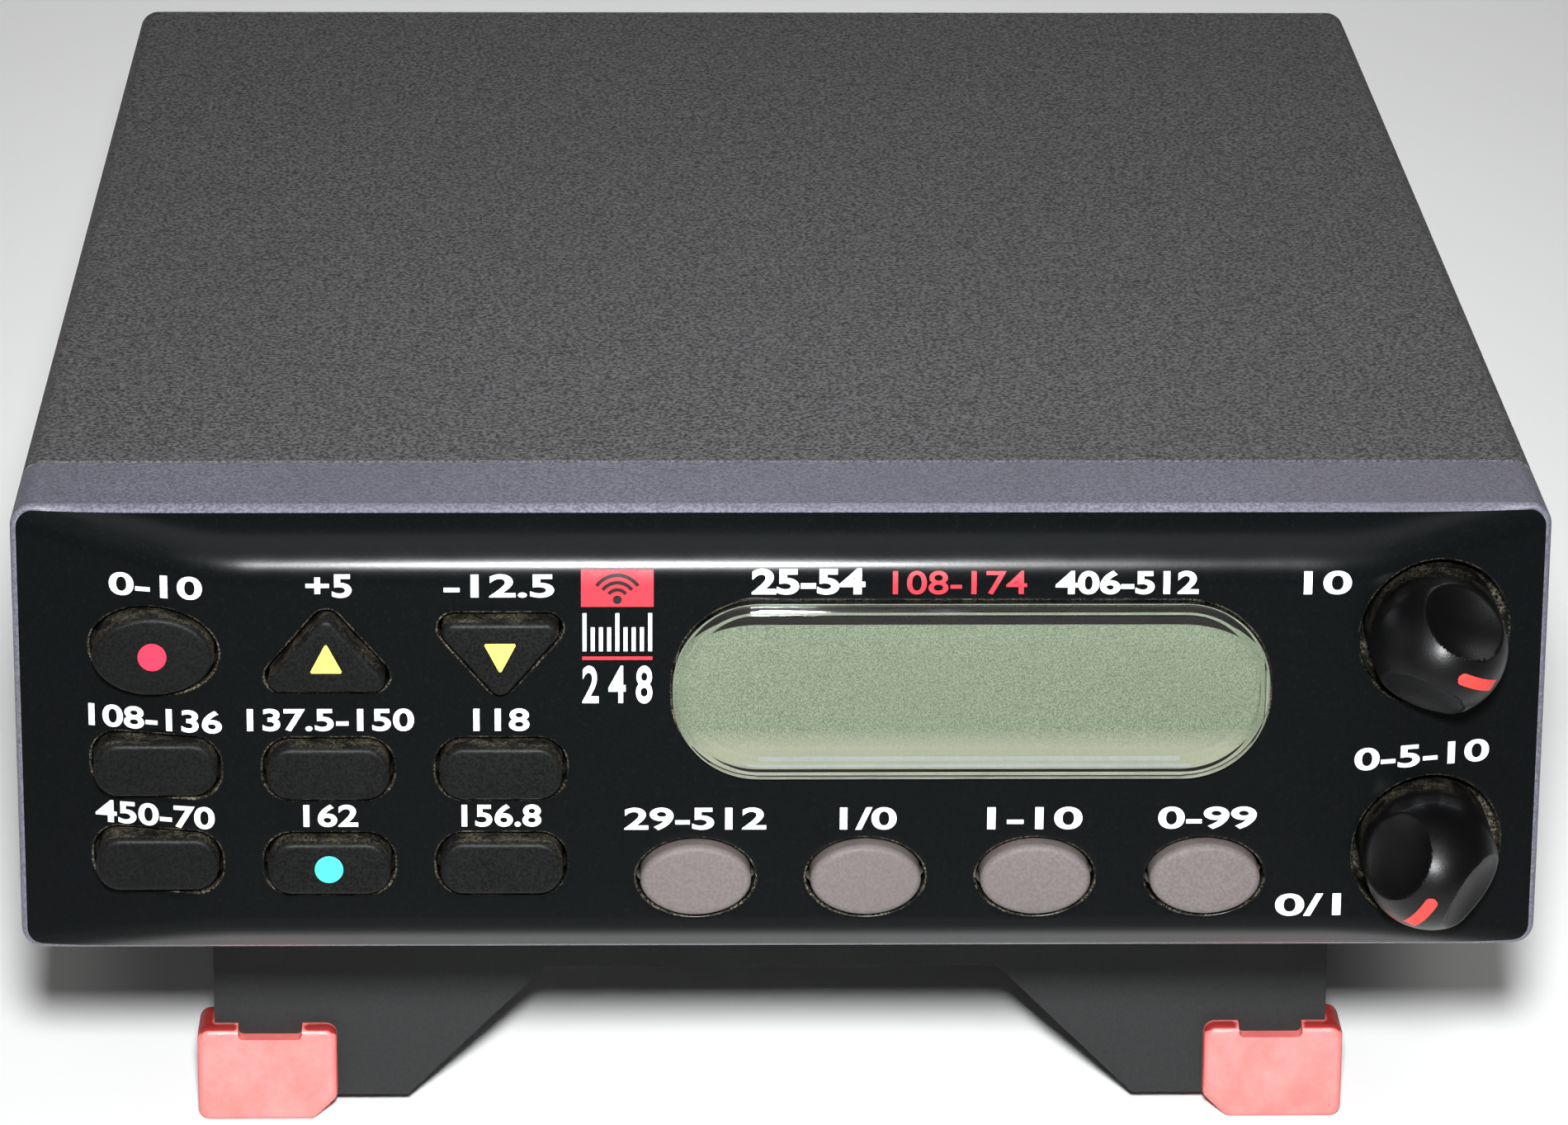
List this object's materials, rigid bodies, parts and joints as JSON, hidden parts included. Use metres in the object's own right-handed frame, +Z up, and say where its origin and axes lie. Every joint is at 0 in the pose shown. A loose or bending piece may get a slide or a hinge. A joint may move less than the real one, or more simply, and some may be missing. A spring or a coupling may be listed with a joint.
{
  "type": "police scanner",
  "caption": "Desktop police scanner receiver with a display, push keys, two knobs and a fold-down tilt stand under its flat case.",
  "frame": {"origin": "on the floor, below the middle of the scanner as it leans back on its stand", "axes": "+Y from the front panel to the rear panel, +X to the right seen from the front, +Z up"},
  "size_m": [0.135, 0.1986, 0.0736],
  "materials": {
    "cover_plastic": "fine moulded grain, matte",
    "case_plastic": "fine grain, matte",
    "panel_gloss": "polished",
    "rear_aluminium": "brushed",
    "black_screw": "blackened",
    "steel": "zinc plated",
    "foot_rubber": "matte",
    "cap_rubber": "soft sheen",
    "window_clear": "polished",
    "display_liquid_crystal": "satin polariser",
    "white_plastic": "moulded",
    "lamp_glass": "clear",
    "contact_rubber": "matte",
    "circuit_board": "solder mask",
    "mat_rubber": "matte",
    "gold_pads": "plated",
    "black_plastic": "moulded",
    "knob_gloss": "polished",
    "aluminium_shaft": "turned",
    "control_plastic": "moulded",
    "tinned_steel": "tinned",
    "chip_plastic": "moulded",
    "capacitor_sleeve": "shrunk sleeve",
    "magnet_ferrite": "sintered",
    "cone_paper": "pressed pulp",
    "lead_plastic": "insulated wire",
    "chrome_plate": "nickel plated",
    "key_grey": "soft matte",
    "key_rubber": "soft matte"
  },
  "bodies": {
    "chassis": {"top_cover": "cover_plastic", "bottom_cover": "case_plastic", "front_bezel": "panel_gloss", "rear_panel": "rear_aluminium", "cover_screws": "black_screw", "rear_screws": "steel", "rear_feet": "foot_rubber", "display_window": "window_clear", "display_glass": "display_liquid_crystal", "display_frame": "white_plastic", "display_lamps": "lamp_glass", "display_connector": "contact_rubber", "front_board": "circuit_board", "keypad_mat": "mat_rubber", "key_contacts": "gold_pads", "front_header": "black_plastic", "volume_control": "control_plastic", "squelch_control": "control_plastic", "main_board": "circuit_board", "board_screws": "steel", "tuner_shield": "tinned_steel", "tuner_lid": "tinned_steel", "crystal_filters": "tinned_steel", "processor": "chip_plastic", "audio_amplifier": "chip_plastic", "voltage_regulator": "chip_plastic", "heat_sink": "rear_aluminium", "capacitors": "capacitor_sleeve", "coil_cans": "tinned_steel", "memory_cell": "steel", "speaker_frame": "tinned_steel", "speaker_magnet": "magnet_ferrite", "speaker_cone": "cone_paper", "speaker_screws": "steel", "speaker_lead": "lead_plastic", "antenna_jack": "chrome_plate", "power_jack": "black_plastic", "speaker_jack": "black_plastic"},
    "stand": {"stand_plate": "case_plastic", "stand_cap_left": "cap_rubber", "stand_cap_right": "cap_rubber", "stand_pins": "steel"},
    "volume": {"volume_knob": "knob_gloss", "volume_shaft": "aluminium_shaft"},
    "squelch": {"squelch_knob": "knob_gloss", "squelch_shaft": "aluminium_shaft"},
    "hold_key": {"key_hold": "key_rubber"},
    "up_key": {"key_up": "key_rubber"},
    "down_key": {"key_down": "key_rubber"},
    "bank_1_key": {"key_bank_1": "key_rubber"},
    "bank_2_key": {"key_bank_2": "key_rubber"},
    "bank_3_key": {"key_bank_3": "key_rubber"},
    "bank_4_key": {"key_bank_4": "key_rubber"},
    "bank_5_key": {"key_bank_5": "key_rubber"},
    "bank_6_key": {"key_bank_6": "key_rubber"},
    "function_1_key": {"key_function_1": "key_grey"},
    "function_2_key": {"key_function_2": "key_grey"},
    "function_3_key": {"key_function_3": "key_grey"},
    "function_4_key": {"key_function_4": "key_grey"}
  },
  "joints": [
    {"name": "stand_fold", "type": "hinge", "parent": "chassis", "child": "stand", "pos_m": [0, -0.0594, 0.02393], "axis": [1, 0, 0], "range_deg": [0, 90]},
    {"name": "volume_turn", "type": "hinge", "parent": "chassis", "child": "volume", "pos_m": [0.0572, -0.08643, 0.04292], "axis": [0, 0.9836, -0.1803], "range_deg": [0, 300]},
    {"name": "squelch_turn", "type": "hinge", "parent": "chassis", "child": "squelch", "pos_m": [0.0572, -0.0828, 0.06269], "axis": [0, 0.9836, -0.1803], "range_deg": [-270, 30]},
    {"name": "hold_press", "type": "slide", "parent": "chassis", "child": "hold_key", "axis": [0, 0.9836, -0.1803], "range_m": [0, 0.001], "stiffness_N_per_m": 400},
    {"name": "up_press", "type": "slide", "parent": "chassis", "child": "up_key", "axis": [0, 0.9836, -0.1803], "range_m": [0, 0.001], "stiffness_N_per_m": 400},
    {"name": "down_press", "type": "slide", "parent": "chassis", "child": "down_key", "axis": [0, 0.9836, -0.1803], "range_m": [0, 0.001], "stiffness_N_per_m": 400},
    {"name": "bank_1_press", "type": "slide", "parent": "chassis", "child": "bank_1_key", "axis": [0, 0.9836, -0.1803], "range_m": [0, 0.001], "stiffness_N_per_m": 400},
    {"name": "bank_2_press", "type": "slide", "parent": "chassis", "child": "bank_2_key", "axis": [0, 0.9836, -0.1803], "range_m": [0, 0.001], "stiffness_N_per_m": 400},
    {"name": "bank_3_press", "type": "slide", "parent": "chassis", "child": "bank_3_key", "axis": [0, 0.9836, -0.1803], "range_m": [0, 0.001], "stiffness_N_per_m": 400},
    {"name": "bank_4_press", "type": "slide", "parent": "chassis", "child": "bank_4_key", "axis": [0, 0.9836, -0.1803], "range_m": [0, 0.001], "stiffness_N_per_m": 400},
    {"name": "bank_5_press", "type": "slide", "parent": "chassis", "child": "bank_5_key", "axis": [0, 0.9836, -0.1803], "range_m": [0, 0.001], "stiffness_N_per_m": 400},
    {"name": "bank_6_press", "type": "slide", "parent": "chassis", "child": "bank_6_key", "axis": [0, 0.9836, -0.1803], "range_m": [0, 0.001], "stiffness_N_per_m": 400},
    {"name": "function_1_press", "type": "slide", "parent": "chassis", "child": "function_1_key", "axis": [0, 0.9836, -0.1803], "range_m": [0, 0.001], "stiffness_N_per_m": 400},
    {"name": "function_2_press", "type": "slide", "parent": "chassis", "child": "function_2_key", "axis": [0, 0.9836, -0.1803], "range_m": [0, 0.001], "stiffness_N_per_m": 400},
    {"name": "function_3_press", "type": "slide", "parent": "chassis", "child": "function_3_key", "axis": [0, 0.9836, -0.1803], "range_m": [0, 0.001], "stiffness_N_per_m": 400},
    {"name": "function_4_press", "type": "slide", "parent": "chassis", "child": "function_4_key", "axis": [0, 0.9836, -0.1803], "range_m": [0, 0.001], "stiffness_N_per_m": 400}
  ]
}
